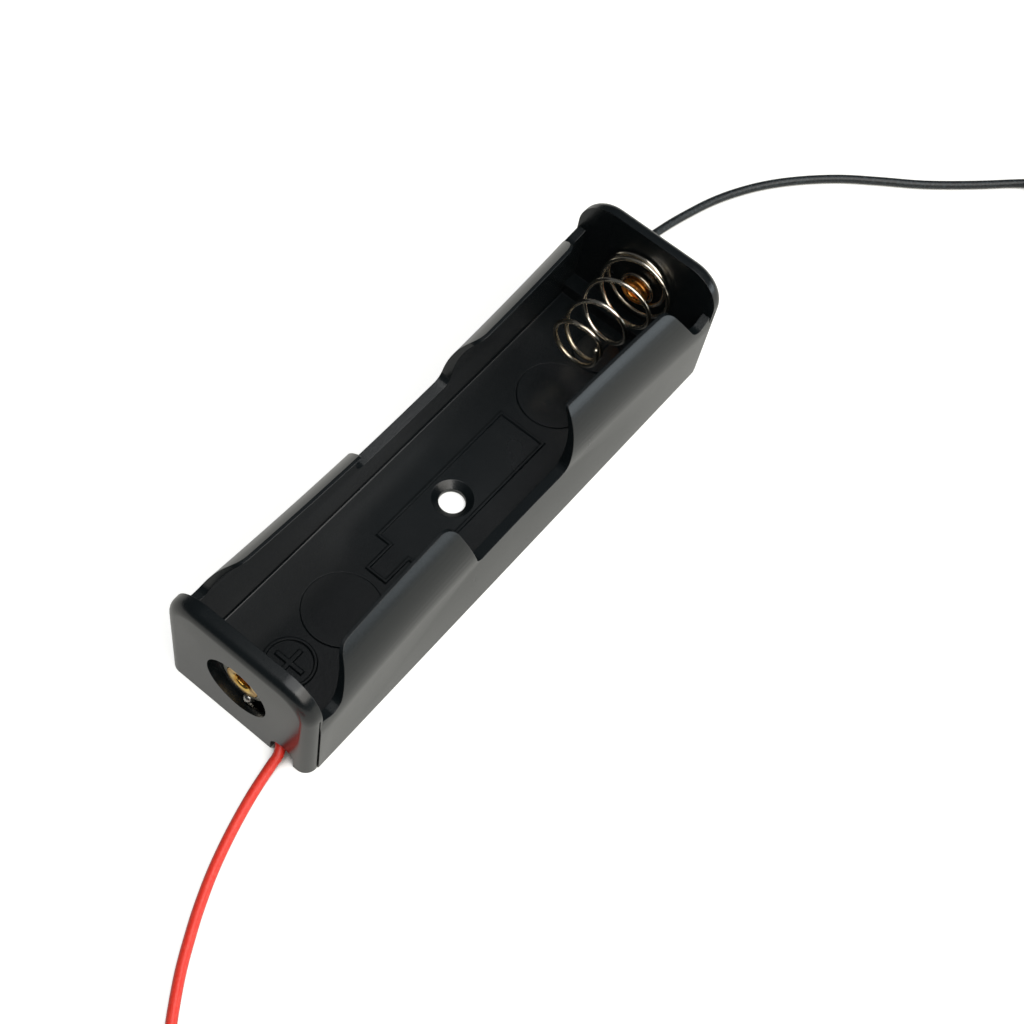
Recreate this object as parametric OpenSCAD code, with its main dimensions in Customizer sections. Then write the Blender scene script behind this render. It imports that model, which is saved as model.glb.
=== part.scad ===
// Holder for one round lithium cell, 18 mm across and 65 mm long.
// A moulded channel with spring-in lips grips the cell. A brass rivet meets its positive end
// and a conical coil spring its negative end. Each contact is riveted through the end wall
// to a solder tag, whose wire leaves through a pocket under the wall.
// The origin is under the middle of the floor: +X runs to the spring end, +Y to the far wall.

/* [Body] */
// Length over the two end walls
body_l = 76.2; // [74:0.1:90]
// Width over the side walls
body_w = 21.3; // [20.7:0.1:24]
// Height of the end walls
body_h = 18; // [17.4:0.1:21]
// Thickness of the floor
floor_t = 1.3; // [1:0.1:2]
// Thickness of the side walls
wall_t = 1.35; // [1:0.05:1.6]
// Radius inside, where a side wall meets the floor
root_r = 0.3; // [0.1:0.05:0.4]
// How far the side walls stand proud of the end walls
end_step = 0.15; // [0.05:0.05:0.4]
// Width of the relief groove beside each end of a side wall
relief_w = 0.2; // [0.1:0.05:0.25]
// Depth of the relief groove
relief_d = 0.3; // [0.1:0.05:0.4]
// Radius of the top corners of an end wall
corner_r = 4.8; // [2.5:0.1:5.5]
// Rounding around the outer edge of an end wall
edge_r = 1.5; // [0.5:0.1:1.8]
// Radius under the outer long edges of the floor
sole_r = 0.15; // [0.1:0.05:0.5]

/* [Lips] */
// Height at which the side walls begin to curve inward
curl_z = 9.35; // [8.5:0.05:11]
// How much higher the curve begins on the inside, which thins the lips to their edge
curl_lift = 1.5; // [0:0.1:1.6]
// Height of the lips
lip_z = 16.9; // [15.5:0.1:17.2]
// Height of the side walls in the finger cut-outs
finger_z = 8.6; // [6:0.1:10]
// Width of a finger cut-out at its foot
finger_w = 16.6; // [12:0.1:22]
// Lean of the sides of a finger cut-out, in degrees
finger_lean = 15.6; // [5:0.1:25]
// Radius at the foot of a finger cut-out
finger_r = 1.5; // [0.5:0.1:3]
// Radius of the lead-in corner of a lip
lead_r = 2; // [0.5:0.1:3]
// Radius of the plain corner of a lip
plain_r = 0.4; // [0.2:0.1:1]
// Distance from an end wall to the end of a lip, at the top
lip_gap = 6.3; // [5:0.1:9]
// Lean of the end of a lip, in degrees
lip_lean = 30; // [15:1:40]
// Height of the wall between a lip and an end wall
saddle_z = 11; // [9:0.1:12]
// Rounding of the outer end of a lip
lip_r = 2.2; // [1:0.1:3]

/* [End walls] */
// Depth of the round recess in the outside of an end wall
recess_depth = 1.5; // [1.3:0.1:2]
// Diameter of the recess
recess_d = 8.6; // [7.6:0.1:10]
// Web left between the recess and the cell bay
web_t = 0.6; // [0.5:0.1:1.2]
// Height of the contacts above the table
contact_z = 8.9; // [8.5:0.1:9.5]
// Thickness of the foot that holds the wire pocket, at the rivet end
rivet_foot_t = 2.8; // [2.6:0.1:3.2]
// Thickness of the foot at the spring end
spring_foot_t = 4.4; // [2.8:0.1:5.5]
// Height of the feet
foot_z = 3.12; // [2.9:0.02:3.4]
// Roof of a wire pocket under the top of the foot
roof_t = 0.15; // [0.1:0.01:0.2]
// Skin between a wire pocket and the outside
skin_t = 0.7; // [0.5:0.1:0.9]
// Clearance on each side of the thicker wire in its pocket
pocket_gap = 0.11; // [0.06:0.01:0.15]
// Distance of a wire pocket from the middle plane
pocket_near = 0.5; // [0.2:0.1:1]
// Outer edge of the pocket and of its notch
pocket_far = 8.4; // [8:0.1:8.8]
// Width of the notch where a wire leaves
notch_w = 3.4; // [3.2:0.1:4]
// Height of the notch
notch_z = 3.2; // [2.6:0.1:3.6]

/* [Floor] */
// Clearance bore for the fixing screw
screw_d = 3.4; // [3:0.1:4]
// Diameter of the countersink at the floor
sink_d = 5.3; // [4.6:0.1:7]
// Straight depth of the bore under the countersink
bore_l = 0.6; // [0.4:0.1:0.8]
// Diameter of the two ejector marks
ejector_d = 9.9; // [8:0.1:12]
// Distance of an ejector mark from the middle
ejector_x = 20.3; // [18:0.1:24]
// Depth of an ejector mark
ejector_t = 0.15; // [0.1:0.05:0.3]

/* [Contacts] */
// Shank of the rivets
rivet_d = 3; // [2.4:0.1:3.4]
// Clearance around a shank
rivet_gap = 0.05; // [0.02:0.01:0.1]
// Hole down the middle of a rivet
rivet_bore = 2.2; // [1.6:0.1:2.4]
// Head of the positive rivet, inside the bay
head_d = 5.5; // [4.6:0.1:7]
// Thickness of that head
head_t = 0.4; // [0.3:0.1:0.8]
// Flared rim of the positive rivet, over its tag
flare_d = 4.6; // [4.2:0.1:4.6]
// Thickness of the flared rim
flare_t = 0.3; // [0.2:0.05:0.4]
// Flange of the negative rivet, over its tag
flange_d = 4.8; // [4.2:0.1:4.8]
// Thickness of the flange
flange_t = 0.4; // [0.2:0.05:0.5]
// Barrel of the negative rivet, inside the bay
barrel_d = 3.4; // [3.3:0.1:3.6]
// Length of the barrel
barrel_l = 1.2; // [1.1:0.1:1.5]
// Rolled rim that keeps the spring on the barrel
rim_d = 4; // [3.8:0.1:4.1]
// Thickness of the rolled rim
rim_t = 0.4; // [0.3:0.05:0.4]
// Ring of a solder tag
tag_d = 6; // [5.2:0.1:6.4]
// Thickness of a solder tag
tag_t = 0.3; // [0.2:0.05:0.35]
// Width of the tongue of a tag
tongue_w = 1.4; // [1:0.1:1.6]
// Distance of the tongue's end below the rivet
tongue_drop = 3.3; // [3.2:0.05:3.4]
// Distance of the tongue's end to the side
tongue_side = 0.75; // [0.6:0.05:0.9]
// Height of a solder joint over its tag
solder_t = 0.65; // [0.5:0.05:0.7]

/* [Spring] */
// Wire of the spring
spring_wire = 0.6; // [0.5:0.05:0.6]
// Radius of the closed turn at the end wall
base_r = 4.7; // [4.2:0.1:5.4]
// Radius of the closed turn at the tip
tip_r = 3.15; // [2.5:0.05:3.6]
// Radius of the small loop around the rivet's barrel
loop_r = 2.2; // [2.15:0.05:2.4]
// How much higher the turns stand than the rivet
spring_rise = 0.9; // [0:0.1:1.1]
// Free length of the spring
spring_l = 13.7; // [11:0.1:16]
// Open turns of the spring
spring_turns = 3; // [3:1:5]
// Pitch of the closed turn at the end wall
base_pitch = 0.65; // [0.65:0.05:1]
// Pitch of the closed turn at the tip
tip_pitch = 0.8; // [0.7:0.1:1.4]
// How far the lower side of an open turn runs ahead of its upper side
spring_lean = 0.7; // [0:0.1:1]
// Clearance between the spring and the end wall
spring_gap = 0.12; // [0.1:0.02:0.16]

/* [Wires] */
// Diameter of the red wire over its insulation
red_d = 1.28; // [1.1:0.01:1.4]
// Diameter of the black wire over its insulation
black_d = 1.12; // [1.1:0.01:1.4]
// Diameter of the tinned conductor
bare_d = 0.5; // [0.4:0.05:0.55]
// Length of the bare end of each wire
bare_l = 5; // [3:0.5:8]

/* [Hidden] */
$fn = 72;
end_t = recess_depth + web_t;
half_l = body_l / 2;
seam_x = half_l - end_t;
web_x = seam_x + web_t;
shell_w = body_w / 2;
end_w = shell_w - end_step;
bay_w = shell_w - wall_t;
bay_l = seam_x;
tuck = (end_t - edge_r) / 2;
pocket_w = max(red_d, black_d) + 2 * pocket_gap;
pocket_z = foot_z - roof_t;
pocket_x = half_l - skin_t - pocket_w / 2;
eps = 0.01;

// Where a tag's tongue ends, as seen from outside its end wall
tongue_z = contact_z - tongue_drop;

// A wire drops through its pocket at three in four, then turns out of the notch onto the table
slope = [0, 0.8, -0.6];
turn_r = 2.7;
turn_y = pocket_far - notch_w / 2 - 0.1 - slope[1] * turn_r;
function turn_z(d) = d / 2 + eps - slope[2] * turn_r;
function start_z(d) = pocket_z + slope[1] * -d / 2 - 0.04;
function start_y(d) = turn_y - (start_z(d) - turn_z(d)) * 4 / 3;

// Routes on the table: distance out from the end wall's face, then sideways
red_route = [[5.5, 7.4], [10.1, 8.6], [14.6, 10.1], [18.6, 11.8], [21.6, 13.3],
    [24.7, 15], [27.8, 17], [30.5, 18.9], [33.5, 21.1], [36.4, 23.5]];
black_route = [[5.5, 6.8], [10, 6.6], [14.5, 5.9], [18, 5.1], [22.2, 3.9], [26, 2.35], [30.1, 0.1],
    [34.3, -3], [38.6, -7], [42.3, -11.4], [46.3, -16.4], [51.4, -21.7], [56.7, -26.7], [60.9, -31]];

// Coils: mean radius, turns, heading in degrees where the wire joins, side it turns to
red_coil_r = 7.15;
red_turns = 2.25;
red_heading = 40;
black_coil_r = 5.6;
black_turns = 2;
black_heading = -46;

// ---- Outlines ----

function unit(v) = v / norm(v);

// Points of an arc that rounds the corner p between the points a and b
function round_corner(a, p, b, r) =
    let (u = unit(a - p), v = unit(b - p))
    let (half = acos(u * v) / 2)
    let (centre = p + unit(u + v) * r / sin(half))
    let (from = p + u * r / tan(half) - centre, to = p + v * r / tan(half) - centre)
    let (a0 = atan2(from[1], from[0]), a1 = atan2(to[1], to[0]))
    let (sweep = a1 - a0 > 180 ? a1 - a0 - 360 : a1 - a0 < -180 ? a1 - a0 + 360 : a1 - a0)
    let (steps = max(2, ceil(abs(sweep) / 12)))
    [for (i = [0:steps]) centre + r * [cos(a0 + sweep * i / steps), sin(a0 + sweep * i / steps)]];

// A closed outline from [x, y, radius] corners
function rounded(c) = [for (i = [0:len(c) - 1])
    let (a = c[(i + len(c) - 1) % len(c)], p = c[i], b = c[(i + 1) % len(c)])
    each (p[2] > 0 ? round_corner([a[0], a[1]], [p[0], p[1]], [b[0], b[1]], p[2]) : [[p[0], p[1]]])];

// Everything above the edge of the near side wall, as seen from that side
module above_wall() {
    rise = lip_z - finger_z;
    foot_x = finger_w / 2;
    top_x = foot_x + rise * tan(finger_lean);
    lip_x = bay_l - lip_gap;
    saddle_x = lip_x + (lip_z - saddle_z) * tan(lip_lean);
    out = half_l;
    polygon(rounded([
        [-out, saddle_z + 0.355 * (out - saddle_x), 0],
        [-saddle_x, saddle_z, 1.8],
        [-lip_x, lip_z, lip_r],
        [-top_x, lip_z, lead_r],
        [-foot_x, finger_z, finger_r],
        [foot_x, finger_z, finger_r],
        [top_x, lip_z, plain_r],
        [lip_x, lip_z, lip_r],
        [saddle_x, saddle_z, 1.8],
        [out, saddle_z + 0.355 * (out - saddle_x), 0],
        [out, body_h + 5, 0],
        [-out, body_h + 5, 0]]));
}

// Half width w, foot at z0 with rounded corners of radius r, sides curling in from z1, cut off at z2
module arched(w, r, z0, z1, z2) {
    translate([-w, z0 + r]) square([2 * w, z1 - z0 - r]);
    translate([-w + r, z0]) square([2 * (w - r), z1 - z0]);
    for (s = [-1, 1]) translate([s * (w - r), z0 + r]) circle(r = r);
    intersection() {
        translate([0, z1]) circle(r = w, $fn = 180);
        translate([-w, z1 - eps]) square([2 * w, z2 - z1 + eps]);
    }
}

// Section of the channel: straight walls that curl inward over the cell and thin to their lips
module channel_section() {
    difference() {
        arched(shell_w, sole_r, 0, curl_z, lip_z);
        arched(bay_w, root_r, floor_t, curl_z + curl_lift, body_h + 5);
    }
}

// Section across the rim of an end wall, from a corner's centre outward
module rim_section() {
    difference() {
        square([corner_r, end_t]);
        translate([corner_r - edge_r, end_t - edge_r]) difference() {
            square(edge_r + 1);
            circle(r = edge_r);
        }
    }
}

// ---- Housing ----

// The channel with its finger cut-outs, the same on both sides after half a turn
module channel() {
    difference() {
        rotate([90, 0, 90]) linear_extrude(height = 2 * (seam_x + tuck), center = true) channel_section();
        for (turn = [0, 180]) rotate([0, 0, turn]) {
            rotate([90, 0, 0]) linear_extrude(height = body_w) above_wall();
        }
    }
}

// End wall at the spring end, its rim carried round the two top corners
module end_wall() {
    flat_w = end_w - corner_r;
    flat_h = body_h - corner_r;
    translate([seam_x, 0, 0]) rotate([90, 0, 90]) {
        translate([-flat_w, 0, 0]) cube([2 * flat_w, flat_h, end_t]);
        translate([-flat_w, flat_h, 0]) rotate([90, 0, 90]) linear_extrude(height = 2 * flat_w) rim_section();
        for (s = [0, 1]) mirror([s, 0, 0]) translate([flat_w, flat_h, 0]) {
            rotate([90, 0, 0]) linear_extrude(height = flat_h) rim_section();
            rotate_extrude(angle = 90) rim_section();
        }
    }
}

// Thick foot of an end wall, which hides the wire pocket
module foot(thick) {
    translate([half_l - thick, -bay_w - wall_t / 2, 0])
        cube([thick - edge_r - tuck, 2 * bay_w + wall_t, foot_z]);
}

// What is cut from an end wall: recess, rivet hole, wire pocket, notch and the two relief grooves
module end_cuts() {
    for (s = [0, 1]) mirror([0, s, 0]) translate([seam_x + tuck, end_w - relief_d, -1])
        cube([relief_w, relief_d + 1, body_h - corner_r + 1]);
    translate([web_x, 0, contact_z]) rotate([0, 90, 0]) cylinder(h = end_t, d = recess_d);
    translate([seam_x - 1, 0, contact_z]) rotate([0, 90, 0])
        cylinder(h = end_t, d = rivet_d + 2 * rivet_gap);
    translate([pocket_x - pocket_w / 2, pocket_near, -1])
        cube([pocket_w, pocket_far - pocket_near, pocket_z + 1]);
    translate([web_x, pocket_near, pocket_z - 0.5])
        cube([half_l - skin_t - web_x, turn_y + 0.5 - pocket_near, tongue_z + 0.4 - pocket_z + 0.5]);
    translate([half_l - skin_t - 0.3, pocket_far - notch_w, -1])
        cube([skin_t + 1, notch_w, notch_z - notch_w / 2 + 1]);
    translate([half_l - skin_t - 0.3, pocket_far - notch_w / 2, notch_z - notch_w / 2])
        rotate([0, 90, 0]) cylinder(h = skin_t + 1, d = notch_w);
}

module housing() {
    color("#2a2d2f") difference() {
        union() {
            channel();
            for (turn = [0, 180]) rotate([0, 0, turn]) end_wall();
            foot(spring_foot_t);
            rotate([0, 0, 180]) foot(rivet_foot_t);
        }
        for (turn = [0, 180]) rotate([0, 0, turn]) {
            end_cuts();
            translate([ejector_x, 0, floor_t - ejector_t]) cylinder(h = 1, d = ejector_d);
        }
        translate([0, 0, -1]) cylinder(h = floor_t + 2, d = screw_d);
        translate([0, 0, bore_l])
            cylinder(h = floor_t - bore_l, d1 = screw_d, d2 = sink_d);
    }
}

// ---- Contacts ----

// Turns a profile of [radius, distance outward from the end wall's inner face] about the contact's axis
module turned(profile) {
    translate([seam_x, 0, contact_z]) rotate([0, 90, 0]) rotate_extrude() polygon(profile);
}

module positive_rivet() {
    over_tag = web_t + tag_t;
    color("#c9a24e") rotate([0, 0, 180]) turned([
        [0, -head_t], [head_d / 2 - 0.3, -head_t], [head_d / 2, -head_t + 0.15], [head_d / 2, 0],
        [rivet_d / 2, 0], [rivet_d / 2, over_tag], [flare_d / 2, over_tag],
        [flare_d / 2, over_tag + flare_t / 2], [flare_d / 2 - 0.15, over_tag + flare_t],
        [rivet_bore / 2 + 0.2, over_tag + flare_t], [rivet_bore / 2, over_tag], [rivet_bore / 2, 0.2],
        [0, 0.2]]);
}

module negative_rivet() {
    over_tag = web_t + tag_t;
    color("#b9773a") turned([
        [rivet_bore / 2, -barrel_l], [rim_d / 2 - 0.15, -barrel_l], [rim_d / 2, -barrel_l + 0.15],
        [rim_d / 2, -barrel_l + rim_t], [barrel_d / 2, -barrel_l + rim_t], [barrel_d / 2, 0],
        [rivet_d / 2, 0], [rivet_d / 2, over_tag], [flange_d / 2, over_tag],
        [flange_d / 2, over_tag + flange_t / 2], [flange_d / 2 - 0.2, over_tag + flange_t],
        [rivet_bore / 2, over_tag + flange_t]]);
}

// A stamped tag: ring under the rivet and a tongue toward the wire
module solder_tag() {
    reach = norm([tongue_side, tongue_drop]);
    half_w = tongue_w / 2;
    translate([web_x, 0, contact_z]) rotate([90, 0, 90]) linear_extrude(height = tag_t) difference() {
        union() {
            circle(d = tag_d);
            rotate(atan2(-tongue_drop, tongue_side)) polygon(rounded([[0, -half_w, 0],
                [reach + half_w, -half_w, half_w * 0.9], [reach + half_w, half_w, half_w * 0.9], [0, half_w, 0]]));
        }
        circle(d = rivet_d + 2 * rivet_gap);
    }
}

module positive_solder_tag() { color("#c8c9c4") rotate([0, 0, 180]) solder_tag(); }
module negative_solder_tag() { color("#c8c9c4") solder_tag(); }

// A dome of solder over the end of the conductor
module solder() {
    dome_r = tongue_w / 2 - 0.05;
    translate([web_x + tag_t, tongue_side, tongue_z]) rotate([0, 90, 0]) rotate_extrude() {
        intersection() {
            square([dome_r, solder_t]);
            translate([0, solder_t - dome_r]) circle(r = dome_r);
        }
    }
}

module positive_solder() { color("#d6d7d4") rotate([0, 0, 180]) solder(); }
module negative_solder() { color("#d6d7d4") solder(); }

// ---- Tubes and the spring ----

// Sweeps a round section of radius r along a path; side is never along the path
module tube(path, r, side, sides = 8) {
    last = len(path) - 1;
    rings = [for (i = [0:last])
        let (t = unit(path[min(i + 1, last)] - path[max(i - 1, 0)]))
        let (n = unit(cross(side, t)), b = cross(t, n))
        for (k = [0:sides - 1]) path[i] + r * (cos(360 * k / sides) * n + sin(360 * k / sides) * b)];
    walls = [for (i = [0:last - 1]) for (k = [0:sides - 1])
        let (a = i * sides + k, b = i * sides + (k + 1) % sides)
        each [[a, b, b + sides], [a, b + sides, a + sides]]];
    caps = [[for (k = [sides - 1:-1:0]) k], [for (k = [0:sides - 1]) last * sides + k]];
    polyhedron(points = rings, faces = concat([for (f = walls) [f[2], f[1], f[0]]],
        [for (f = caps) [for (k = [sides - 1:-1:0]) f[k]]]));
}

function ease(t) = let (c = min(1, max(0, t))) c * c * (3 - 2 * c);

// After n turns: a loop on the rivet before -1, a closed turn on the wall up to 0, open turns that
// grow narrower, and a closed turn at the tip
spring_base_x = seam_x - spring_gap - spring_wire / 2;
spring_open_x = spring_base_x - base_pitch;
tip_turns = 0.83;
spring_closed_x = seam_x - spring_l + spring_wire / 2 + tip_pitch * tip_turns;
function spring_off(n) = ease((n + 1.5) / 0.5);
function spring_r(n) = n < 0 ? loop_r + (base_r - loop_r) * spring_off(n)
    : base_r + (tip_r - base_r) * min(1, n / spring_turns);
function spring_x(n) = n < -1 ? spring_base_x
    : n < 0 ? spring_base_x - base_pitch * (n + 1)
    : n < spring_turns ? spring_open_x + (spring_closed_x - spring_open_x) * n / spring_turns
        - spring_lean * min(1, n) * (1 - cos(360 * n)) / 2
    : spring_closed_x - tip_pitch * (n - spring_turns);
function spring_point(n) = [spring_x(n), spring_r(n) * sin(360 * n),
    contact_z + spring_rise * spring_off(n) + spring_r(n) * cos(360 * n)];

module contact_spring() {
    steps = 24;
    path = [for (i = [-2.3 * steps:(spring_turns + tip_turns) * steps]) spring_point(i / steps)];
    color("#d8d4cb") tube(path, spring_wire / 2, [1, 0, 0]);
}

// ---- Wires ----

// Smooth curve through the points of a route
function bend(p, i, t) =
    let (a = p[max(i - 1, 0)], b = p[i], c = p[i + 1], d = p[min(i + 2, len(p) - 1)])
    0.5 * (2 * b + (c - a) * t + (2 * a - 5 * b + 4 * c - d) * t * t + (3 * b - a - 3 * c + d) * t * t * t);
function smooth(p, steps) = concat([for (i = [0:len(p) - 2]) for (k = [0:steps - 1]) bend(p, i, k / steps)],
    [p[len(p) - 1]]);

// From the insulation's start, down through the pocket and out of the notch
function way_out(d) =
    let (turn_at = [pocket_x, turn_y, turn_z(d)])
    concat([[pocket_x, start_y(d), start_z(d)]],
        [for (a = [0:22.5:90]) turn_at + turn_r * ([1 - cos(a), 0, 0] + sin(a) * slope)]);
function on_table(route, d) = [for (p = route) [half_l + p[0], p[1], d / 2 + eps]];
function wire_path(route, d) = concat(way_out(d), smooth(on_table(route, d), 2));

// Where a coil of radius r starts after a route, turning left (side 1) or right (side -1)
function coil_centre(route, heading, r, side) =
    [half_l + route[len(route) - 1][0], route[len(route) - 1][1]] + side * r * [-sin(heading), cos(heading)];
// Where the coil ends, and the direction of the wire there
function coil_end(centre, heading, r, side, turns) =
    centre - side * r * [-sin(heading + side * 360 * turns), cos(heading + side * 360 * turns)];
function coil_out(heading, side, turns) =
    [cos(heading + side * 360 * turns), sin(heading + side * 360 * turns)];
function coil_h(d, turns) = d * (1.02 * turns + 1);

// The coiled length as one ring with a rounded section
module coil(centre, r, d, turns) {
    h = coil_h(d, turns);
    translate([centre[0], centre[1], 0]) rotate_extrude() translate([r, 0]) {
        translate([-d / 2, d / 2]) square([d, h - d]);
        for (z = [d / 2, h - d / 2]) translate([0, z]) circle(d = d, $fn = 24);
    }
}

// The insulated tail that leaves a coil's top and comes down to the table
function tail(start, out, z0, l) =
    [for (s = [0:0.5:1]) [start[0] + out[0] * l * s, start[1] + out[1] * l * s, z0 - 0.4 * s * s]];
function tip(from, out, z1) =
    [for (s = [0:0.5:1]) [from[0] + out[0] * bare_l * s, from[1] + out[1] * bare_l * s,
        from[2] + (z1 - from[2]) * s]];

// The tinned conductor from the insulation up to the solder on its tag
module soldered_end(d) {
    lift = tag_t + bare_d / 2 + 0.02;
    y = start_y(d);
    z = start_z(d);
    color("#d0d0cc") tube([[pocket_x, y, z], [web_x + 0.4, y - 0.75, z + 0.6],
        [web_x + 0.42, tongue_side + 1.5, tongue_z - 1.6], [web_x + lift - 0.05, tongue_side + 0.6, tongue_z - 0.8],
        [web_x + lift, tongue_side + 0.2, tongue_z - 0.3], [web_x + lift, tongue_side, tongue_z]],
        bare_d / 2, [1, 0, 0]);
}

red_centre = coil_centre(red_route, red_heading, red_coil_r, 1);
red_end = coil_end(red_centre, red_heading, red_coil_r, 1, red_turns);
red_out = coil_out(red_heading, 1, red_turns);
red_top = coil_h(red_d, red_turns) - red_d / 2;
red_tail = tail(red_end, red_out, red_top, 4);
black_centre = coil_centre(black_route, black_heading, black_coil_r, -1);
black_end = coil_end(black_centre, black_heading, black_coil_r, -1, black_turns);
black_out = coil_out(black_heading, -1, black_turns);
black_top = coil_h(black_d, black_turns) - black_d / 2;
black_tail = tail(black_end, black_out, black_top, 4);

module red_wire() {
    color("#e8352a") rotate([0, 0, 180]) {
        tube(wire_path(red_route, red_d), red_d / 2, [0, 0, 1]);
        tube(red_tail, red_d / 2, [0, 0, 1]);
    }
}

module red_wire_coil() {
    color("#e8352a") rotate([0, 0, 180]) coil(red_centre, red_coil_r, red_d, red_turns);
}

module red_wire_soldered_end() { rotate([0, 0, 180]) soldered_end(red_d); }

module red_wire_free_end() {
    color("#d0d0cc") rotate([0, 0, 180]) tube(tip(red_tail[2], red_out, bare_d / 2), bare_d / 2, [0, 0, 1]);
}

module black_wire() {
    color("#23292c") {
        tube(wire_path(black_route, black_d), black_d / 2, [0, 0, 1]);
        tube(black_tail, black_d / 2, [0, 0, 1]);
    }
}

module black_wire_coil() {
    color("#23292c") coil(black_centre, black_coil_r, black_d, black_turns);
}

module black_wire_soldered_end() { soldered_end(black_d); }

module black_wire_free_end() {
    color("#d0d0cc") tube(tip(black_tail[2], black_out, bare_d / 2), bare_d / 2, [0, 0, 1]);
}

housing();
positive_rivet();
negative_rivet();
positive_solder_tag();
negative_solder_tag();
positive_solder();
negative_solder();
contact_spring();
red_wire();
red_wire_coil();
red_wire_soldered_end();
red_wire_free_end();
black_wire();
black_wire_coil();
black_wire_soldered_end();
black_wire_free_end();
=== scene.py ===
import bpy, bmesh, math
from mathutils import Vector, Matrix


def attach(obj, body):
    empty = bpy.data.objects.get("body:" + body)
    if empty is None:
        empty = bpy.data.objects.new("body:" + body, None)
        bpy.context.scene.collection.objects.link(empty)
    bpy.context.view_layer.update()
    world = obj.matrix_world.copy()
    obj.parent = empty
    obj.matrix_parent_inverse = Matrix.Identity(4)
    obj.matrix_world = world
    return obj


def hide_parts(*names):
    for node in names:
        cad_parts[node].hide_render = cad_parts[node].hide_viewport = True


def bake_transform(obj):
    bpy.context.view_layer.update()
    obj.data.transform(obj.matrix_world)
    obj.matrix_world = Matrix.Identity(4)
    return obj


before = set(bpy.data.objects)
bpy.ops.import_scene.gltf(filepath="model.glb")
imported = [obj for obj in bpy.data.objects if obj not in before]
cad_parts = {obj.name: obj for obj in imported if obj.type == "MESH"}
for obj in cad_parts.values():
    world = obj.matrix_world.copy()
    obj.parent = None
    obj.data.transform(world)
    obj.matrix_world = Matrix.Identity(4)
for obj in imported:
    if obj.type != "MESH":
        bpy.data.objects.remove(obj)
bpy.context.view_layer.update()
scene = bpy.context.scene
mm = 0.001
print("model loaded:", len(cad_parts), "nodes")

# looks down on the open bay from the red wire's end; angles in degrees
cameraView = {
    "azimuth": -61.641, "elevation": 60.872, "roll": 12.394,
    "distance": 214.188 * mm, "target": (-1.39 * mm, -5.136 * mm, 0),
    "lens": 62.207, "sensor": 36, "shift": (0.03429, 0.02349), "near": 0.01, "far": 10,
}


def addCamera(v):
    a, e, roll = (math.radians(v[k]) for k in ("azimuth", "elevation", "roll"))
    back = Vector((math.sin(a) * math.cos(e), -math.cos(a) * math.cos(e), math.sin(e)))
    right = Vector((math.cos(a), math.sin(a), 0))
    up = back.cross(right)
    turned = Matrix((right * math.cos(roll) + up * math.sin(roll),
                     up * math.cos(roll) - right * math.sin(roll), back)).transposed()
    data = bpy.data.cameras.new("camera")
    data.lens = v["lens"]
    data.sensor_width = v["sensor"]
    data.shift_x, data.shift_y = v["shift"]
    data.clip_start, data.clip_end = v["near"], v["far"]
    cam = bpy.data.objects.new("camera", data)
    cam.matrix_world = Matrix.Translation(Vector(v["target"]) + back * v["distance"]) @ turned.to_4x4()
    scene.collection.objects.link(cam)
    scene.camera = cam


addCamera(cameraView)
print("camera placed")


def linear(hexText):
    # sRGB hex to the linear colour that the shaders read
    parts = [int(hexText[i:i + 2], 16) / 255 for i in (1, 3, 5)]
    return [c / 12.92 if c <= 0.04045 else ((c + 0.055) / 1.055) ** 2.4 for c in parts] + [1]


def addNode(tree, kind, settings=None, **links):
    # one node: settings are attributes, input names or input numbers; links are input names or in0, in1
    node = tree.nodes.new(kind)
    for key, value in (settings or {}).items():
        if hasattr(node, key) and key not in node.inputs:
            setattr(node, key, value)
        else:
            node.inputs[int(key) if key.isdigit() else key].default_value = value
    for key, source in links.items():
        name = key.replace("_", " ")
        if name.startswith("in") and name[2:].isdigit():
            name = int(name[2:])
        tree.links.new(source, node.inputs[name])
    return node


def newMaterial(name):
    material = bpy.data.materials.new(name)
    material.use_nodes = True
    tree = material.node_tree
    return material, tree, tree.nodes["Principled BSDF"]


def newPiece(name, bm, material, body="holder", smooth=True):
    mesh = bpy.data.meshes.new(name)
    bm.to_mesh(mesh)
    bm.free()
    piece = bpy.data.objects.new(name, mesh)
    scene.collection.objects.link(piece)
    mesh.materials.append(material)
    for face in mesh.polygons:
        face.use_smooth = smooth
    if body:
        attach(piece, body)
    return piece


tube = {"roundness": 3, "weld": 1e-7}   # 16 sides; metres


def sweptMesh(name, points, radius):
    # a tube along the points, as a curve turned into a mesh
    data = bpy.data.curves.new(name, "CURVE")
    data.dimensions, data.bevel_depth, data.use_fill_caps = "3D", radius, True
    data.bevel_resolution = tube["roundness"]
    data.twist_mode = "MINIMUM"
    spline = data.splines.new("POLY")
    spline.points.add(len(points) - 1)
    for place, p in zip(spline.points, points):
        place.co = (*p, 1)
    carrier = bpy.data.objects.new(name + "Carrier", data)
    scene.collection.objects.link(carrier)
    bpy.context.view_layer.update()
    mesh = bpy.data.meshes.new_from_object(carrier.evaluated_get(bpy.context.evaluated_depsgraph_get()))
    bpy.data.objects.remove(carrier)
    bpy.data.curves.remove(data)
    mesh.materials.clear()
    bm = bmesh.new()
    bm.from_mesh(mesh)
    bpy.data.meshes.remove(mesh)
    bmesh.ops.remove_doubles(bm, verts=bm.verts, dist=tube["weld"])
    bmesh.ops.recalc_face_normals(bm, faces=bm.faces)
    return bm


def gather(target, part):
    # adds one shape to another
    mesh = bpy.data.meshes.new("part")
    part.to_mesh(mesh)
    part.free()
    target.from_mesh(mesh)
    bpy.data.meshes.remove(mesh)


def ease(t):
    # 0 to 1 with a soft start and a soft end
    t = min(1, max(0, t))
    return t * t * (3 - 2 * t)


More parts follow.
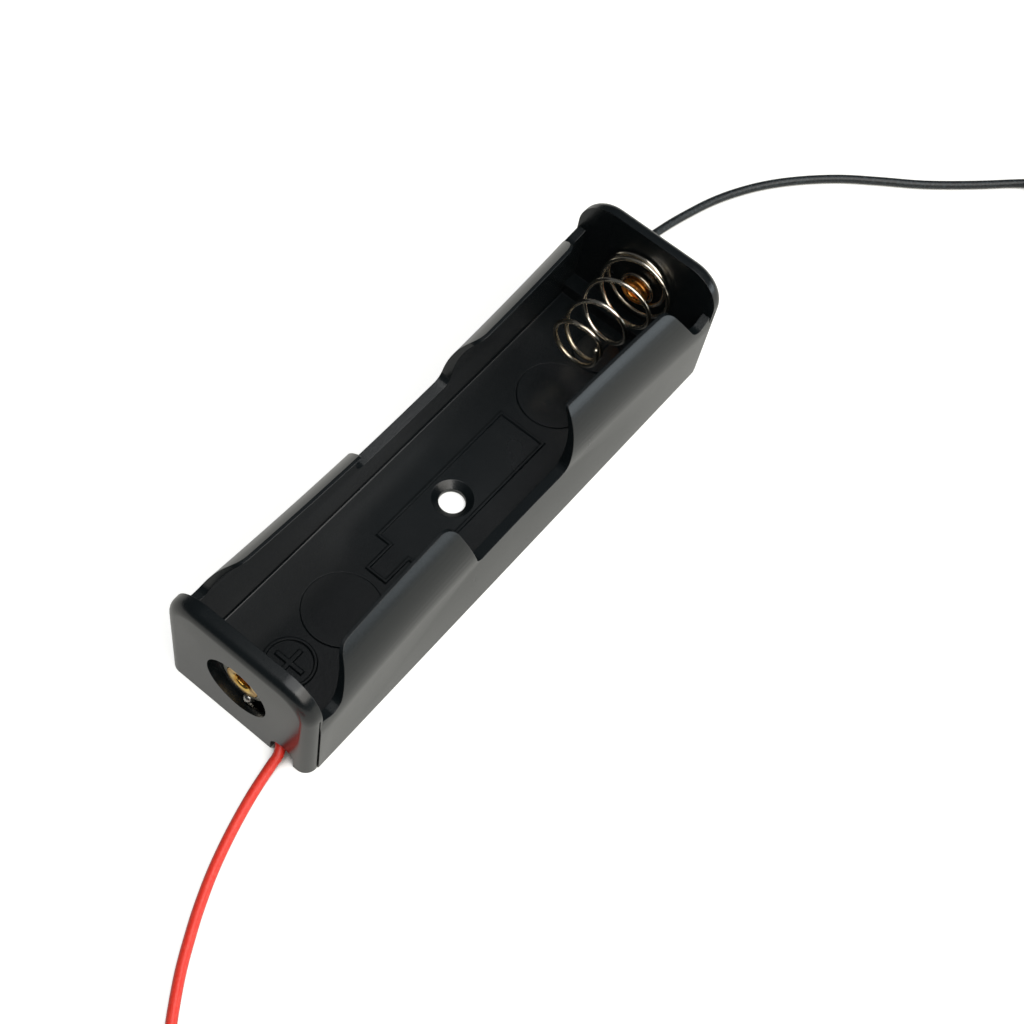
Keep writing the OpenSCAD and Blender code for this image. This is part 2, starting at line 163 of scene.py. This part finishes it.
def smoothRoute(points, steps):
    # a smooth curve through the points, with steps stretches between each two
    route = []
    for i in range(len(points) - 1):
        a, b = points[max(i - 1, 0)], points[i]
        c, d = points[i + 1], points[min(i + 2, len(points) - 1)]
        for k in range(steps):
            t = k / steps
            route.append((b * 2 + (c - a) * t + (a * 2 - b * 5 + c * 4 - d) * t * t
                          + (b * 3 - a - c * 3 + d) * t ** 3) * 0.5)
    return route + [points[-1]]


absFinish = {"colour": "#0f1416", "ior": 1.53, "grain": 0.3, "grainDepth": 0.02, "grainStrength": 0.3,
             "flowMark": 7, "smoothest": 0.21, "dullest": 0.3, "edgeSamples": 6}   # lengths in mm


def mouldedAbs(name, edgeRadius):
    # ABS from a polished mould: near black with a satin sheen that drifts in broad flow marks, a fine grain
    # and a bright thread along each softened edge; the grain is drawn coarser than it is, so that it shows
    f = absFinish
    material, tree, shader = newMaterial(name)
    place = addNode(tree, "ShaderNodeTexCoord").outputs["Object"]
    grain = addNode(tree, "ShaderNodeTexNoise", {"Scale": 1 / (f["grain"] * mm), "Detail": 2},
                    Vector=place)
    flow = addNode(tree, "ShaderNodeTexNoise", {"Scale": 1 / (f["flowMark"] * mm), "Detail": 4},
                   Vector=place)
    sheen = addNode(tree, "ShaderNodeMapRange", {"To Min": f["smoothest"], "To Max": f["dullest"]},
                    Value=flow.outputs["Fac"])
    edge = addNode(tree, "ShaderNodeBevel", {"samples": f["edgeSamples"], "Radius": edgeRadius * mm})
    bump = addNode(tree, "ShaderNodeBump", {"Strength": f["grainStrength"], "Distance": f["grainDepth"] * mm},
                   Height=grain.outputs["Fac"], Normal=edge.outputs[0])
    shader.inputs["Base Color"].default_value = linear(f["colour"])
    shader.inputs["IOR"].default_value = f["ior"]
    tree.links.new(sheen.outputs[0], shader.inputs["Roughness"])
    tree.links.new(bump.outputs["Normal"], shader.inputs["Normal"])
    return material


metalFinish = {"clearBelow": 0.35, "dullAbove": 0.7, "smoother": 0.8, "rougher": 1.5, "depth": 0.01}


def workedMetal(name, hexText, dullHex, roughness, patch, relief=0.15):
    # metal as it leaves the tool or the plating bath: bright, with duller, rougher patches of the given
    # size in millimetres
    f = metalFinish
    material, tree, shader = newMaterial(name)
    place = addNode(tree, "ShaderNodeTexCoord").outputs["Object"]
    cloud = addNode(tree, "ShaderNodeTexNoise", {"Scale": 1 / (patch * mm), "Detail": 5}, Vector=place)
    tone = addNode(tree, "ShaderNodeMapRange", {"From Min": f["clearBelow"], "From Max": f["dullAbove"]},
                   Value=cloud.outputs["Fac"])
    colour = addNode(tree, "ShaderNodeMix",
                     {"data_type": "RGBA", "6": linear(hexText), "7": linear(dullHex)},
                     in0=tone.outputs[0])
    sheen = addNode(tree, "ShaderNodeMapRange",
                    {"To Min": roughness * f["smoother"], "To Max": roughness * f["rougher"]},
                    Value=tone.outputs[0])
    bump = addNode(tree, "ShaderNodeBump", {"Strength": relief, "Distance": f["depth"] * mm},
                   Height=cloud.outputs["Fac"])
    shader.inputs["Metallic"].default_value = 1
    tree.links.new(colour.outputs[2], shader.inputs["Base Color"])
    tree.links.new(sheen.outputs[0], shader.inputs["Roughness"])
    tree.links.new(bump.outputs["Normal"], shader.inputs["Normal"])
    return material


pvcFinish = {"ior": 1.53, "speck": 0.35, "plainBelow": 0.45, "speckAbove": 0.7, "skinDepth": 0.02,
             "skinStrength": 0.1}   # lengths in mm


def wirePvc(name, hexText, speckHex, roughness):
    # extruded PVC: an even, soft-looking satin skin, with fine specks of dust and powder on it
    f = pvcFinish
    material, tree, shader = newMaterial(name)
    place = addNode(tree, "ShaderNodeTexCoord").outputs["Object"]
    specks = addNode(tree, "ShaderNodeTexNoise", {"Scale": 1 / (f["speck"] * mm), "Detail": 3}, Vector=place)
    tone = addNode(tree, "ShaderNodeMapRange", {"From Min": f["plainBelow"], "From Max": f["speckAbove"]},
                   Value=specks.outputs["Fac"])
    colour = addNode(tree, "ShaderNodeMix",
                     {"data_type": "RGBA", "6": linear(hexText), "7": linear(speckHex)},
                     in0=tone.outputs[0])
    bump = addNode(tree, "ShaderNodeBump", {"Strength": f["skinStrength"], "Distance": f["skinDepth"] * mm},
                   Height=specks.outputs["Fac"])
    shader.inputs["IOR"].default_value = f["ior"]
    shader.inputs["Roughness"].default_value = roughness
    tree.links.new(colour.outputs[2], shader.inputs["Base Color"])
    tree.links.new(bump.outputs["Normal"], shader.inputs["Normal"])
    return material


# the housing: near black inside the bay, grey where a wall faces the light, edges rounded off by the mould
absBlack = mouldedAbs("moulded black ABS", 0.09)
# the small signs: the same plastic with crisp edges, seen only as thin dark and light lines
absCrisp = mouldedAbs("crisp moulded black ABS", 0.02)
# turned and flared brass: warm yellow, with browner patches of tarnish
brass = workedMetal("bare brass", "#e0bd6a", "#a97c35", 0.2, 1.2)
# copper-rich brass: reddish, and deep orange where one part of it mirrors another
copperBrass = workedMetal("reddish brass", "#eda552", "#bd742e", 0.3, 1.2)
# drawn and plated wire: a bright thin streak of light round each turn
springNickel = workedMetal("nickel-plated spring steel", "#f6f0e4", "#dccdb0", 0.2, 5, 0.02)
# rolled tin plate: grey and dull, with darker handling marks
tinPlate = workedMetal("tin-plated steel", "#b4b3ac", "#77756e", 0.36, 0.8)
# solder that set slowly: a grey, softly shining dome
solderTin = workedMetal("bright solder", "#a9a9a5", "#7c7c78", 0.3, 0.5)
# dipped strands: pale and shiny, with coppery patches
tinnedCopper = workedMetal("tinned copper strands", "#d8d5cc", "#a89c88", 0.25, 0.4)
# red PVC: strong warm red that stays bright in its own shade
redPvc = wirePvc("red PVC insulation", "#ff3d2e", "#ff5040", 0.34)
# black PVC: charcoal with a wide soft sheen along the top
blackPvc = wirePvc("black PVC insulation", "#12171a", "#2f3a3e", 0.42)
print("materials made")

# how far the side walls draw in, and where; lengths in mm
housingBow = {"depth": 0.93, "reach": 34, "fullHeight": 8.6, "cutEvery": 2, "fromY": 5, "toY": 6.2,
              "wallY": 9.97, "cutoutHalf": 9, "cutoutFade": 3, "leanFrom": 6, "leanTo": 9.5,
              "weld": 0.002, "cutWeld": 0.001, "sharpAngle": 30}


def bowedHousing():
    # the moulded side walls draw inward between the end walls, most of all in the middle
    b = housingBow
    bm = bmesh.new()
    bm.from_mesh(bpy.data.objects["housing"].data)
    bmesh.ops.remove_doubles(bm, verts=bm.verts, dist=b["weld"] * mm)
    for x in range(-b["reach"], b["reach"] + 1, b["cutEvery"]):
        bmesh.ops.bisect_plane(bm, geom=bm.verts[:] + bm.edges[:] + bm.faces[:], dist=b["cutWeld"] * mm,
                               plane_co=(x * mm, 0, 0), plane_no=(1, 0, 0))
    for v in bm.verts:
        x, y, z = v.co / mm
        along = max(0, 1 - (x / b["reach"]) ** 2)
        upward = min(1, max(0, z / b["fullHeight"]))
        sideways = min(1, max(0, (abs(y) - b["fromY"]) / (b["toY"] - b["fromY"])))
        v.co.y -= math.copysign(b["depth"] * along * upward * sideways, y) * mm
        # in the finger cut-outs the wall leans, so its top edge tips toward the bay
        nearCutout = min(1, max(0, (b["cutoutHalf"] + b["cutoutFade"] - abs(x)) / b["cutoutFade"]))
        if b["leanFrom"] < z < b["leanTo"] and abs(y) > b["toY"]:
            v.co.z += b["depth"] * along / b["fullHeight"] * nearCutout * (abs(y) - b["wallY"]) * mm
    piece = newPiece("mouldedHousing", bm, absBlack)
    # the new walls get new normals, so the old ones go
    if "custom_normal" in piece.data.attributes:
        piece.data.attributes.remove(piece.data.attributes["custom_normal"])
    piece.data.set_sharp_from_angle(angle=math.radians(b["sharpAngle"]))
    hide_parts("housing")


bowedHousing()

# ridges on the floor, whose top is at "top"; lengths in mm
floorSigns = {"top": 1.3, "sunk": 0.03, "height": 0.24, "lean": 0.16, "plusX": -29.4, "plusRadius": 3.3,
              "minusX": 29.4, "minusRadius": 3.4, "ringLine": 0.55, "armLength": 4.2, "armWidth": 0.75,
              "cellLeft": -10.2, "cellRight": 13.9, "cellHalfWidth": 3.6, "nubLeft": -14.4,
              "nubHalfWidth": 1.65, "cellLine": 0.55, "padX": 20.3, "padRadius": 4.95, "padHeight": 0.14,
              "padSunk": 0.16, "roundSteps": 72, "rimAngle": 1}


def disc(radius):
    bm = bmesh.new()
    bmesh.ops.create_circle(bm, cap_ends=True, segments=floorSigns["roundSteps"], radius=radius * mm)
    return bm


def flatShape(corners):
    bm = bmesh.new()
    bm.faces.new([bm.verts.new((x * mm, y * mm, 0)) for x, y in corners])
    bm.normal_update()
    return bm


def raised(flat, x, line=0, height=floorSigns["height"], sunk=floorSigns["sunk"]):
    # a flat shape, or only a line round it, becomes a ridge with leaning sides on the floor at x
    s = floorSigns
    faces = flat.faces[:]
    if line:
        ring = bmesh.ops.inset_region(flat, faces=faces, thickness=line * mm, use_boundary=True,
                                      use_even_offset=True)["faces"]
        bmesh.ops.delete(flat, geom=faces, context="FACES")
        faces = ring
    new = bmesh.ops.extrude_face_region(flat, geom=faces, use_keep_orig=True)["geom"]
    tops = [v for v in new if isinstance(v, bmesh.types.BMVert)]
    bmesh.ops.translate(flat, vec=(0, 0, (sunk + height) * mm), verts=tops)
    bmesh.ops.recalc_face_normals(flat, faces=flat.faces)
    rims = [e for e in flat.edges
            if all(v in tops for v in e.verts) and abs(e.calc_face_angle(0)) > s["rimAngle"]]
    bmesh.ops.bevel(flat, geom=rims, offset=min(s["lean"], height) * mm, offset_type="OFFSET", segments=1,
                    profile=0.5, affect="EDGES", material=-1)
    bmesh.ops.translate(flat, vec=(x * mm, 0, (s["top"] - sunk) * mm), verts=flat.verts)
    return flat


def addFloorSigns():
    # a ring with a plus, a ring with a minus, the outline of a cell, and two ejector pads
    s = floorSigns
    reach, half = s["armLength"] / 2, s["armWidth"] / 2
    plus = []
    for turn in range(4):
        c, d = round(math.cos(turn * math.pi / 2)), round(math.sin(turn * math.pi / 2))
        plus += [(x * c - y * d, x * d + y * c) for x, y in ((reach, -half), (reach, half), (half, half))]
    minus = [(-reach, -half), (reach, -half), (reach, half), (-reach, half)]
    left, right, wide = s["cellLeft"], s["cellRight"], s["cellHalfWidth"]
    nub, narrow = s["nubLeft"], s["nubHalfWidth"]
    cell = [(left, -wide), (right, -wide), (right, wide), (left, wide),
            (left, narrow), (nub, narrow), (nub, -narrow), (left, -narrow)]
    signs = raised(flatShape(cell), 0, s["cellLine"])
    gather(signs, raised(disc(s["plusRadius"]), s["plusX"], s["ringLine"]))
    gather(signs, raised(disc(s["minusRadius"]), s["minusX"], s["ringLine"]))
    gather(signs, raised(flatShape(plus), s["plusX"]))
    gather(signs, raised(flatShape(minus), s["minusX"]))
    for side in (-1, 1):
        pad = raised(disc(s["padRadius"]), side * s["padX"], height=s["padHeight"], sunk=s["padSunk"])
        gather(signs, pad)
    newPiece("floorSigns", signs, absCrisp, smooth=False)


addFloorSigns()
print("housing drawn in, floor signs raised")

# the rivets share one axis; seamX is the inner face of the end wall, in mm
contact = {"seamX": 36, "height": 8.9, "steps": 80, "weld": 0.001, "sharpAngle": 50}


def roll(centre, out, radius, fromAngle, toAngle, steps=6):
    # points of a rolled edge, as (distance from the axis, distance outward)
    angles = [math.radians(fromAngle + (toAngle - fromAngle) * k / steps) for k in range(steps + 1)]
    return [(centre + radius * math.cos(a), out + radius * math.sin(a)) for a in angles]


def addTurned(name, profile, halfTurn, material, node):
    # a profile of (distance from the axis, distance outward) is turned round the axis of the rivets
    c = contact
    bm = bmesh.new()
    line = [bm.verts.new((c["seamX"] + out, 0, c["height"] + radius)) for radius, out in profile]
    pairs = list(zip(line, line[1:]))
    if profile[0][0] > 0:
        pairs.append((line[-1], line[0]))
    edges = [bm.edges.new(pair) for pair in pairs]
    bmesh.ops.spin(bm, geom=line + edges, cent=(c["seamX"], 0, c["height"]), axis=(1, 0, 0),
                   angle=2 * math.pi, steps=c["steps"], use_merge=True)
    bmesh.ops.remove_doubles(bm, verts=bm.verts, dist=c["weld"])
    bmesh.ops.scale(bm, vec=(mm, mm, mm), verts=bm.verts)
    if halfTurn:
        bmesh.ops.rotate(bm, cent=(0, 0, 0), matrix=Matrix.Rotation(math.pi, 3, "Z"), verts=bm.verts)
    bmesh.ops.recalc_face_normals(bm, faces=bm.faces)
    piece = newPiece(name, bm, material)
    piece.data.set_sharp_from_angle(angle=math.radians(c["sharpAngle"]))
    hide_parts(node)


# head in the bay, shank through the wall and the tag, rim flared over the tag, blind bore
positiveProfile = ([(0, -0.4), (1.7, -0.39), (2.3, -0.35)] + roll(2.55, -0.15, 0.2, -70, 0)
                   + [(2.75, 0), (1.5, 0), (1.5, 0.9)] + roll(2.12, 1.06, 0.16, -80, 90)
                   + roll(1.52, 0.78, 0.42, 90, 180) + [(1.1, 0.25), (1.0, 0.2), (0, 0.2)])
# tubular rivet: rolled rim in the bay that keeps the spring, flange over the tag outside
negativeProfile = (roll(1.38, -0.92, 0.28, 180, 270) + roll(1.8, -1.0, 0.2, -90, 90)
                   + [(1.7, -0.78), (1.7, 0), (1.5, 0), (1.5, 0.9)]
                   + roll(2.2, 1.1, 0.2, -80, 90) + roll(1.38, 1.02, 0.28, 90, 180))
addTurned("rivetPositive", positiveProfile, True, brass, "positive_rivet")
addTurned("rivetNegative", negativeProfile, False, copperBrass, "negative_rivet")

# turns are counted from the wall: below 0 on the rivet and the wall, above 0 open; lengths in mm
springShape = {"wire": 0.6, "firstTurn": -2.3, "lastTurn": 3.83, "openTurns": 3, "stepsEachTurn": 44,
               "loopX": 35.6, "loopRadius": 2.2, "closedPitch": 0.55, "pitch": 3.75, "opening": 0.06,
               "lean": 0.3, "baseRadius": 4.65, "tipRadius": 3.13, "endRadius": 3.45, "tipPitch": 0.8,
               "rise": 1.0, "sideways": -0.166, "drift": 0.038, "leavesLoop": -1.5, "leavesOver": 0.5,
               "closedGrowth": 0.1}


def springPoint(n):
    # a loop on the rivet, a closed turn on the wall, open turns that narrow, a closed turn at the tip
    s = springShape
    away = ease((n - s["leavesLoop"]) / s["leavesOver"])
    last = s["openTurns"]
    if n < 0:
        x = s["loopX"] - s["closedPitch"] * max(0, n + 1)
        radius = s["loopRadius"] + (s["baseRadius"] - s["closedGrowth"] * n - s["loopRadius"]) * away
    elif n < last:
        x = (s["loopX"] - s["closedPitch"] - s["pitch"] * n - s["opening"] * n * n
             - s["lean"] * (1 + n) * (1 - math.cos(2 * math.pi * n)) / 2)
        radius = s["baseRadius"] + (s["tipRadius"] - s["baseRadius"]) * n / last
    else:
        past = (n - last) / (s["lastTurn"] - last)
        x = (s["loopX"] - s["closedPitch"] - s["pitch"] * last - s["opening"] * last * last
             - s["tipPitch"] * (n - last))
        radius = s["tipRadius"] + (s["endRadius"] - s["tipRadius"]) * past
    y = (s["sideways"] + s["drift"] * (s["loopX"] - x)) * away + radius * math.sin(2 * math.pi * n)
    z = contact["height"] + s["rise"] * away + radius * math.cos(2 * math.pi * n)
    return Vector((x, y, z)) * mm


def addSpring():
    s = springShape
    steps = range(round(s["firstTurn"] * s["stepsEachTurn"]), round(s["lastTurn"] * s["stepsEachTurn"]) + 1)
    path = [springPoint(k / s["stepsEachTurn"]) for k in steps]
    spring = newPiece("coilSpring", sweptMesh("coilSpring", path, s["wire"] / 2 * mm), springNickel,
                      body=None)
    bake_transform(spring)
    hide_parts("contact_spring")


addSpring()
print("rivets turned, spring wound")

# what both wires share, from the pocket in the end wall to the stripped end; lengths in mm
wireShape = {"turnRadius": 2.7, "slopeY": 0.8, "slopeZ": -0.6, "turnY": 4.44, "pocketRoof": 2.97,
             "faceX": 38.1, "skin": 0.7, "pocketGap": 0.11, "thickest": 1.28, "bareDiameter": 0.5,
             "bareLength": 5, "tailLength": 4, "riseEachTurn": 1.02, "coilSteps": 28, "roofGap": 0.04,
             "tableGap": 0.01, "turnSteps": 8, "routeSteps": 4, "tailSteps": 4, "tailDrop": 0.4,
             "bareSteps": 6, "exitY": 6.4, "exitZ": 0.8}
# each route is a row of points on the table, as distance out from the end wall and distance across
redWire = {"diameter": 1.28, "coilRadius": 7.15, "turns": 2.25, "heading": 40, "side": 1, "length": 151 * mm,
           "route": [(5.5, 7.4), (10.1, 8.6), (14.6, 10.1), (18.6, 11.8), (21.6, 13.3),
                     (24.7, 15), (27.8, 17), (30.5, 18.9), (33.5, 21.1), (36.4, 23.5)]}
blackWire = {"diameter": 1.12, "coilRadius": 5.6, "turns": 2, "heading": -46, "side": -1, "length": 153 * mm,
             "route": [(5.5, 6.8), (10, 6.6), (14.5, 5.9), (18, 5.1), (22.2, 3.9), (26, 2.35), (30.1, 0.1),
                       (34.3, -3), (38.6, -7), (42.3, -11.4), (46.3, -16.4), (51.4, -21.7), (56.7, -26.7),
                       (60.9, -31)]}


def wirePath(w):
    # from inside the pocket, out of the notch, over the table and round the coil, in mm at the +X end
    s, r = wireShape, w["diameter"] / 2
    pocketX = s["faceX"] - s["skin"] - s["thickest"] / 2 - s["pocketGap"]
    turnZ = r + s["tableGap"] - s["slopeZ"] * s["turnRadius"]
    startZ = s["pocketRoof"] - s["slopeY"] * r - s["roofGap"]
    startY = s["turnY"] + (startZ - turnZ) * s["slopeY"] / s["slopeZ"]
    path = [Vector((pocketX, startY, startZ))]
    for k in range(s["turnSteps"] + 1):
        a = math.pi / 2 * k / s["turnSteps"]
        path.append(Vector((pocketX + s["turnRadius"] * (1 - math.cos(a)),
                            s["turnY"] + s["turnRadius"] * math.sin(a) * s["slopeY"],
                            turnZ + s["turnRadius"] * math.sin(a) * s["slopeZ"])))
    table = [Vector((s["faceX"] + x, y, r + s["tableGap"])) for x, y in w["route"]]
    path += smoothRoute([path[-1]] + table, s["routeSteps"])[1:]
    heading = math.radians(w["heading"])
    ahead = Vector((math.cos(heading), math.sin(heading), 0))
    inward = Vector((-ahead.y, ahead.x, 0)) * w["side"]
    centre = table[-1] + inward * w["coilRadius"]
    steps = int(s["coilSteps"] * w["turns"])
    for k in range(1, steps + 1):
        a = 2 * math.pi * w["turns"] * k / steps
        path.append(centre - inward * w["coilRadius"] * math.cos(a) + ahead * w["coilRadius"] * math.sin(a)
                    + Vector((0, 0, w["diameter"] * s["riseEachTurn"] * w["turns"] * k / steps)))
    a = 2 * math.pi * w["turns"]
    out = ahead * math.cos(a) + inward * math.sin(a)
    top = path[-1].copy()
    for k in range(1, s["tailSteps"] + 1):
        t = k / s["tailSteps"]
        path.append(top + out * s["tailLength"] * t - Vector((0, 0, s["tailDrop"] * t * t)))
    tip = path[-1] + out * s["bareLength"]
    tip.z = s["bareDiameter"] / 2
    bare = [path[-1].lerp(tip, k / s["bareSteps"]) for k in range(s["bareSteps"] + 1)]
    return path, bare


def placed(points, halfTurn):
    # metres, and turned half round for the end at -X
    sign = -1 if halfTurn else 1
    return [Vector((p.x * sign, p.y * sign, p.z)) * mm for p in points]


def addWire(name, w, halfTurn, material):
    s = wireShape
    path, bare = wirePath(w)
    path, bare = placed(path, halfTurn), placed(bare, halfTurn)
    cover = newPiece(name + "Insulation", sweptMesh(name, path, w["diameter"] / 2 * mm), material)
    end = newPiece(name + "BareEnd", sweptMesh(name + "End", bare, s["bareDiameter"] / 2 * mm),
                   tinnedCopper)
    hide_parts(name + "_wire", name + "_wire_coil")
    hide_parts(name + "_wire_free_end")


addWire("red", redWire, True, redPvc)
addWire("black", blackWire, False, blackPvc)
print("wires laid")

# these keep their own meshes and only get a finish
finishes = {
    "positive_solder_tag": tinPlate, "negative_solder_tag": tinPlate,
    "positive_solder": solderTin, "negative_solder": solderTin,
    "red_wire_soldered_end": tinnedCopper, "black_wire_soldered_end": tinnedCopper,
}
for nodeName, finish in finishes.items():
    for materialSlot in bpy.data.objects[nodeName].material_slots:
        materialSlot.material = finish
print("tags and solder finished")

# floorHalf in metres, floorDrop and hollowSize in mm
studio = {"floorHalf": 3, "floorDrop": 0.02, "floorColour": "#b8b8b0", "floorRoughness": 0.9,
          "seenByCamera": 0.82, "seenInGloss": 0.34, "hollowSize": 4, "hollowSamples": 8,
          "darkBelow": 0.25, "openAbove": 0.48, "worldColour": "#cfd6de", "worldStrength": 0.1,
          "white": "#ffffff"}
# each softbox: place and aim in metres, size, and the brightness of its face
softboxes = {
    "overhead": {"place": (0.0, -0.2, 0.6), "aim": (0.0, -0.2, 0), "size": (0.76, 0.55), "bright": 2.1,
                 "colour": "#ffffff"},
    "front": {"place": (-0.04, -0.52, 0.5), "aim": (0, 0, 0), "size": (0.7, 0.45), "bright": 2.8,
              "colour": "#fffaf2"},
    "low right": {"place": (0.5, -0.64, 0.15), "aim": (0, 0, 0), "size": (0.45, 0.2), "bright": 3,
                  "colour": "#e2ecf2"},
}


def addFloor():
    # a white matt table: it glows a little, so it stays white but keeps a faint shadow; in narrow hollows an
    # occlusion mask dims the glow, which is painted shade, so that no light comes from under the holder
    s = studio
    bm = bmesh.new()
    bmesh.ops.create_grid(bm, x_segments=1, y_segments=1, size=s["floorHalf"])
    material, tree, shader = newMaterial("white table")
    shader.inputs["Base Color"].default_value = linear(s["floorColour"])
    shader.inputs["Roughness"].default_value = s["floorRoughness"]
    shader.inputs["Specular IOR Level"].default_value = 0
    path = addNode(tree, "ShaderNodeLightPath")
    direct = addNode(tree, "ShaderNodeMath", {"operation": "MAXIMUM"}, in0=path.outputs["Is Camera Ray"],
                     in1=path.outputs["Is Transmission Ray"])
    gloss = addNode(tree, "ShaderNodeMath", {"operation": "MULTIPLY", "1": s["seenInGloss"]},
                    in0=path.outputs["Is Glossy Ray"])
    seen = addNode(tree, "ShaderNodeMath", {"operation": "MULTIPLY_ADD", "1": s["seenByCamera"]},
                   in0=direct.outputs[0], in2=gloss.outputs[0])
    # painted shade: the table's glow fades where the holder hems it in, as in the pockets under the end walls
    openness = addNode(tree, "ShaderNodeAmbientOcclusion", {"samples": s["hollowSamples"],
                                                                 "Distance": s["hollowSize"] * mm})
    hollow = addNode(tree, "ShaderNodeMapRange", {"From Min": s["darkBelow"], "From Max": s["openAbove"]},
                     Value=openness.outputs["AO"])
    strength = addNode(tree, "ShaderNodeMath", {"operation": "MULTIPLY"}, in0=seen.outputs[0],
                       in1=hollow.outputs[0])
    glow = addNode(tree, "ShaderNodeEmission", {"Color": linear(s["white"])}, Strength=strength.outputs[0])
    both = addNode(tree, "ShaderNodeAddShader", {}, in0=shader.outputs[0], in1=glow.outputs[0])
    tree.links.new(both.outputs[0], tree.nodes["Material Output"].inputs["Surface"])
    floor = newPiece("floor", bm, material, body=None, smooth=False)
    floor.data.transform(Matrix.Translation((0, 0, -s["floorDrop"] * mm)))


def addWorld():
    # a dim bluish room that the holder mirrors, and plain white where the camera sees past the table
    s = studio
    world = bpy.data.worlds.new("studio")
    scene.world = world
    world.use_nodes = True
    tree = world.node_tree
    back = tree.nodes["Background"]
    path = addNode(tree, "ShaderNodeLightPath")
    back.inputs["Color"].default_value = linear(s["worldColour"])
    back.inputs["Strength"].default_value = s["worldStrength"]
    white = addNode(tree, "ShaderNodeBackground", {"Color": linear(s["white"]), "Strength": 1.0})
    direct = addNode(tree, "ShaderNodeMath", {"operation": "MAXIMUM"}, in0=path.outputs["Is Camera Ray"],
                     in1=path.outputs["Is Transmission Ray"])
    mix = addNode(tree, "ShaderNodeMixShader", {}, in0=direct.outputs[0], in1=back.outputs[0],
                  in2=white.outputs[0])
    tree.links.new(mix.outputs[0], tree.nodes["World Output"].inputs["Surface"])


def addSoftbox(name, box):
    # energy is worked out so that "bright" is the radiance of the face
    width, height = box["size"]
    data = bpy.data.lights.new(name, "AREA")
    data.shape, data.size, data.size_y = "RECTANGLE", width, height
    data.energy = box["bright"] * math.pi * width * height
    data.color = linear(box["colour"])[:3]
    lamp = bpy.data.objects.new(name, data)
    lamp.location = box["place"]
    lamp.rotation_euler = (Vector(box["aim"]) - Vector(box["place"])).to_track_quat("-Z", "Y").to_euler()
    scene.collection.objects.link(lamp)


addFloor()
addWorld()
for name, box in softboxes.items():
    addSoftbox(name, box)
scene.view_settings.view_transform = "Standard"
print("studio set")
